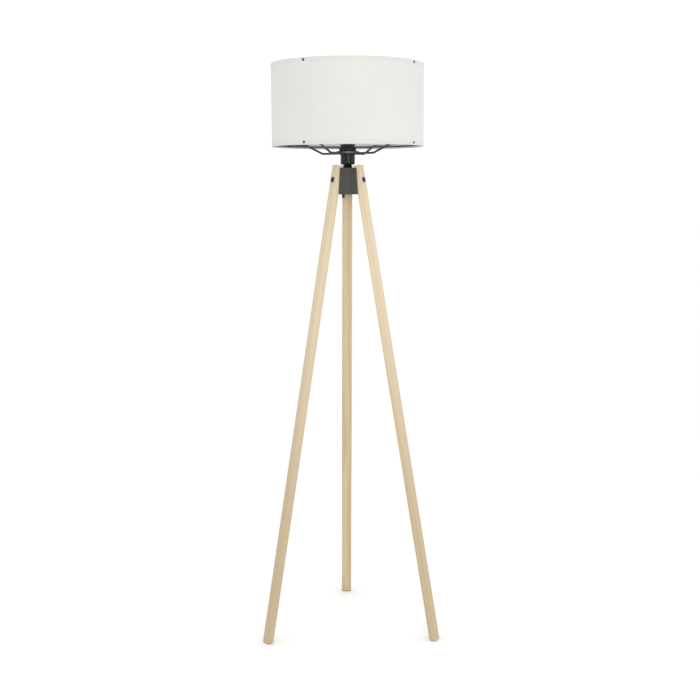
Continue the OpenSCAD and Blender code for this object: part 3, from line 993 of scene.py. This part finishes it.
def hub_plate(name, width, low_radius, top_radius):
    """A box from the axis out to the front, drawn in at its top."""
    bpy.ops.object.select_all(action="DESELECT")
    bpy.ops.mesh.primitive_cube_add(
        size=1, location=(0, -low_radius / 2, (hub_low_z + hub_top_z) / 2),
        scale=(width, low_radius, hub_height),
    )
    plate = added(name)
    select_faces(plate, lambda face: face.normal.z > 0.9)
    bpy.ops.transform.resize(
        value=(1, top_radius / low_radius, 1), center_override=(0, 0, hub_top_z)
    )
    bpy.ops.object.mode_set(mode="OBJECT")
    return plate


def combined(piece, tool, azimuths, operation):
    """Unites a piece with copies of a tool at azimuths, or cuts them out of it."""
    for azimuth in azimuths:
        copy = copied(tool, "tool_copy", azimuth)
        modified(piece, "BOOLEAN", object=copy, operation=operation, solver="EXACT")
        bpy.data.objects.remove(copy)
    bpy.data.objects.remove(tool)
    return piece


arm_width = slot_width + 2 * cheek_thickness
web_azimuths = [0, 120, 240]
front_web = hub_plate("front_web", leg_width, web_radius, web_radius)
hub = copied(front_web, "cast_hub")
combined(hub, front_web, web_azimuths[1:], "UNION")
cheeked_arm = hub_plate("cheeked_arm", arm_width, cheek_low_radius, cheek_top_radius)
combined(hub, cheeked_arm, LEG_AZIMUTHS.values(), "UNION")

bpy.ops.object.select_all(action="DESELECT")
bpy.ops.mesh.primitive_cube_add(
    size=1, location=(0, -hub_height / 2, -hub_height / 2),
    scale=(slot_width, hub_height, 3 * hub_height),
)
slot_cutter = along_front_leg(added("slot_cutter"))
combined(hub, slot_cutter, LEG_AZIMUTHS.values(), "DIFFERENCE")
edited(hub, merge_doubles, lambda: bpy.ops.mesh.dissolve_limited(angle_limit=math.radians(1)))
bevelled(hub, 0.9 * MM)

bpy.ops.object.select_all(action="DESELECT")
bpy.ops.mesh.primitive_cylinder_add(
    vertices=96, radius=outer_radius("hub_cover") + 0.15 * MM, depth=2 * cover_thickness,
    location=(0, 0, hub_low_z),
)
combined(hub, added("recess_cutter"), [0], "DIFFERENCE")
finished(hub, "stand", cast_charcoal, 30, ["hub"])

# %% Gland
gland_low, gland_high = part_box("cord_gland")
gland_centre = (gland_low + gland_high) / 2
gland_bore = 2.5 * MM
gland_tip = 3.1 * MM
gland_shank = 4 * MM
gland_flange = (gland_high.x - gland_low.x) / 2
gland = turned_ring("lead_gland", [
    (gland_bore, gland_low.z), (gland_tip - 0.3 * MM, gland_low.z),
    (gland_tip, gland_low.z + 0.4 * MM), (gland_shank, hub_low_z),
    (gland_shank, hub_low_z + cover_thickness),
    (gland_flange, hub_low_z + cover_thickness),
    (gland_flange, gland_high.z), (gland_bore, gland_high.z),
], 48)
gland.location = (gland_centre.x, gland_centre.y, 0)
settled(gland)
finished(gland, "stand", moulded_black, 40, ["cord_gland"])

# %% [markdown]
# ## The legs
#
# Each leg is a straight bar with its long edges rounded by a router, its top cut square
# and its foot cut to stand flat on the floor. A bar is made once, lying as the front
# leg would, cut off at the floor and bored for its bolt, and then copied round.

# %% Legs
leg_thickness = 17 * MM
leg_rise = 5 * MM
leg_edge = 1.6 * MM
pad_top = height_span("foot_pads")[1]
bolt_drop = 33 * MM
bolt_hole = 3.2 * MM
leg_length = hub_top_z / math.cos(leg_splay) + 20 * MM


def bar():
    """The front leg, before it is copied round."""
    bpy.ops.object.select_all(action="DESELECT")
    bpy.ops.mesh.primitive_cube_add(
        size=1, location=(0, -leg_thickness / 2, (leg_rise - leg_length) / 2),
        scale=(leg_width, leg_thickness, leg_length + leg_rise),
    )
    leg = added("front_bar")
    bevelled(leg, leg_edge, 4)
    along_front_leg(leg)
    edited(
        leg,
        lambda: bpy.ops.mesh.bisect(
            plane_co=(0, 0, pad_top), plane_no=(0, 0, 1), use_fill=True, clear_inner=True
        ),
    )
    bpy.ops.object.select_all(action="DESELECT")
    bpy.ops.mesh.primitive_cylinder_add(
        vertices=32, radius=bolt_hole, depth=3 * leg_thickness,
        location=(0, -leg_thickness / 2, -bolt_drop), rotation=(math.pi / 2, 0, 0),
    )
    drill = along_front_leg(added("drill"))
    modified(leg, "BOOLEAN", object=drill, operation="DIFFERENCE", solver="EXACT")
    bpy.data.objects.remove(drill)
    return leg


front_bar = bar()
for node, azimuth in LEG_AZIMUTHS.items():
    leg = copied(front_bar, node.replace("leg", "wooden_leg"), azimuth)
    finished(leg, "stand", leg_woods[node], 30, [node])
bpy.data.objects.remove(front_bar)

# %% [markdown]
# ## Leg bolts
#
# A button-head bolt goes through each leg into a threaded insert in the hub. Its head
# is a low dome with a hexagon socket, so a hexagon is sunk into a turned head.

# %% Bolts
bolt_head_radius = 7.25 * MM
bolt_head_height = 4 * MM
bolt_shank = 3 * MM
bolt_length = leg_thickness + 12 * MM
socket_radius = 2.3 * MM
socket_depth = 2 * MM
dome_steps = 8
dome = [
    (
        max(bolt_head_radius * math.cos(math.pi / 2 * i / dome_steps), 0.3 * bolt_head_radius),
        bolt_head_height * math.sin(math.pi / 2 * i / dome_steps) ** 0.9,
    )
    for i in range(dome_steps)
]
bolt = turned("front_bolt", [
    (bolt_shank * 0.8, -bolt_length), (bolt_shank, -bolt_length + 0.6 * MM),
    (bolt_shank, 0), (bolt_head_radius * 0.97, 0), (bolt_head_radius, 0.4 * MM),
    *dome[1:], (0.28 * bolt_head_radius, bolt_head_height), (0, bolt_head_height),
], 64)
bpy.ops.object.select_all(action="DESELECT")
bpy.ops.mesh.primitive_cylinder_add(
    vertices=6, radius=socket_radius, depth=2 * socket_depth, location=(0, 0, bolt_head_height)
)
key = added("hexagon_key")
modified(bolt, "BOOLEAN", object=key, operation="DIFFERENCE", solver="EXACT")
bpy.data.objects.remove(key)
bolt.rotation_euler.x = math.pi / 2
bolt.location = (0, -leg_thickness, -bolt_drop)
settled(bolt)
along_front_leg(bolt)
bolts = set_round("button_bolts", bolt, LEG_AZIMUTHS.values())
finished(bolts, "stand", oxide_black, 35, ["leg_bolts"])

# %% [markdown]
# ## The bulb
#
# The bulb is opal glass: a neck that swells into a round crown. The outline is a
# half wave from the neck to the widest point, and a quarter circle over the top. Its
# cap is rolled from thin sheet, with rounded rings that follow the holder's thread.

# %% Glass
glass_low, glass_high = height_span("bulb_glass")
glass_radius = outer_radius("bulb_glass")
glass_neck = 12.35 * MM
glass_widest = glass_high - glass_radius
swell_start = glass_low + 5 * MM
swell_steps = 20
crown_steps = 18
swell = [
    (
        glass_neck + (glass_radius - glass_neck) * (1 - math.cos(math.pi * i / swell_steps)) / 2,
        swell_start + (glass_widest - swell_start) * i / swell_steps,
    )
    for i in range(swell_steps)
]
crown = [
    (
        glass_radius * math.cos(math.pi / 2 * i / crown_steps),
        glass_widest + glass_radius * math.sin(math.pi / 2 * i / crown_steps),
    )
    for i in range(crown_steps)
]
glass = turned("opal_bulb", [(glass_neck, glass_low), *swell, *crown, (0, glass_high)], 96)
finished(glass, "bulb", opal_glass, 60, ["bulb_glass"])

# %% Screw cap
cap_low, cap_high = height_span("bulb_cap")
cap_radius = outer_radius("bulb_cap")
cap_wall = 0.5 * MM
cap_pitch = 3.6 * MM
cap_wave = 0.45 * MM
wave_steps = 8
wave_count = int((cap_high - cap_low - 6 * MM) / cap_pitch) * wave_steps
rolled = [
    (
        cap_radius - cap_wave * (1 + math.cos(2 * math.pi * i / wave_steps)) / 2,
        cap_low + 1.4 * MM + cap_pitch * i / wave_steps,
    )
    for i in range(wave_count + 1)
]
cap_inner = cap_radius - 2 * cap_wave - cap_wall
cap = turned_ring("bulb_screw_cap", [
    (cap_inner, cap_low), (cap_radius - 1.2 * MM, cap_low), *rolled,
    (cap_radius - cap_wave, cap_high - 0.6 * MM), (cap_radius - 0.2 * MM, cap_high),
    (cap_radius - 0.75 * MM, cap_high), (cap_radius - 0.75 * MM, glass_low),
    (cap_inner, glass_low),
])
finished(cap, "bulb", cap_aluminium, 60, ["bulb_cap"])

# %% [markdown]
# ## Parts kept as designed
#
# The parts inside the holder and the hub, and the clips, washer, pads and cover, are
# small and already have their true shape. So they stay as they are and only get a
# finish: mostly turned brass and zinc plate, with ceramic, black moulding and felt.

# %% Small parts
kept = {
    "screw_shell": brass, "centre_contact": brass, "threaded_tube": brass,
    "tube_nut": brass, "threaded_inserts": brass, "insulator_block": ceramic,
    "terminal_screws": zinc_plate, "tube_washer": zinc_plate, "clamp_washer": zinc_plate,
    "top_ring_clips": zinc_plate, "bottom_ring_clips": zinc_plate,
    "hub_cover": moulded_black, "bulb_insulator": lacquer_black, "bulb_tip": zinc_plate,
    "foot_pads": brown_felt,
}
for node, material in kept.items():
    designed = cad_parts[node]
    designed.data.materials.clear()
    designed.data.materials.append(material)
print(len(kept), "parts keep their designed shape")

# %% [markdown]
# ## Floor, light and air
#
# The lamp stands on a plain pale floor in an even white studio. The air itself is
# white, which lights the lamp from all round. A small soft lamp at the front right
# gives the drum its roundness and the black parts their glints, and a larger, weaker
# one at the right side brightens the legs' outer faces.

# %% Floor
bpy.ops.object.select_all(action="DESELECT")
bpy.ops.mesh.primitive_plane_add(size=60, location=(0, 0, 0))
floor = added("floor")
paper = Finish("pale_floor", Roughness=0.9, Specular_IOR_Level=0.1)
paper.colour(paper.blend(paper.noise(paper.place(), 3.0), (0.93, 0.93, 0.93), (0.90, 0.90, 0.90)))
floor.data.materials.append(paper.material)


# %% Lights
def soft_light(name, place, aim, size, power):
    """A square lamp at a place, facing a point."""
    bpy.ops.object.light_add(type="AREA", location=place)
    light = bpy.context.object
    light.name = name
    light.data.size = size
    light.data.energy = power
    light.rotation_euler = (Vector(aim) - Vector(place)).to_track_quat("-Z", "Y").to_euler()


soft_light("key_light", (0.55, -2.95, 1.6), (0, 0, 1.15), 0.8, 16)
soft_light("side_light", (3.2, -0.9, 1.2), (0, 0, 0.7), 1.6, 3.5)

world = bpy.data.worlds.new("white_studio")
world.use_nodes = True
world.node_tree.nodes["Background"].inputs["Color"].default_value = (1, 1, 1, 1)
world.node_tree.nodes["Background"].inputs["Strength"].default_value = 1.1
bpy.context.scene.world = world
bpy.context.scene.view_settings.view_transform = "Standard"
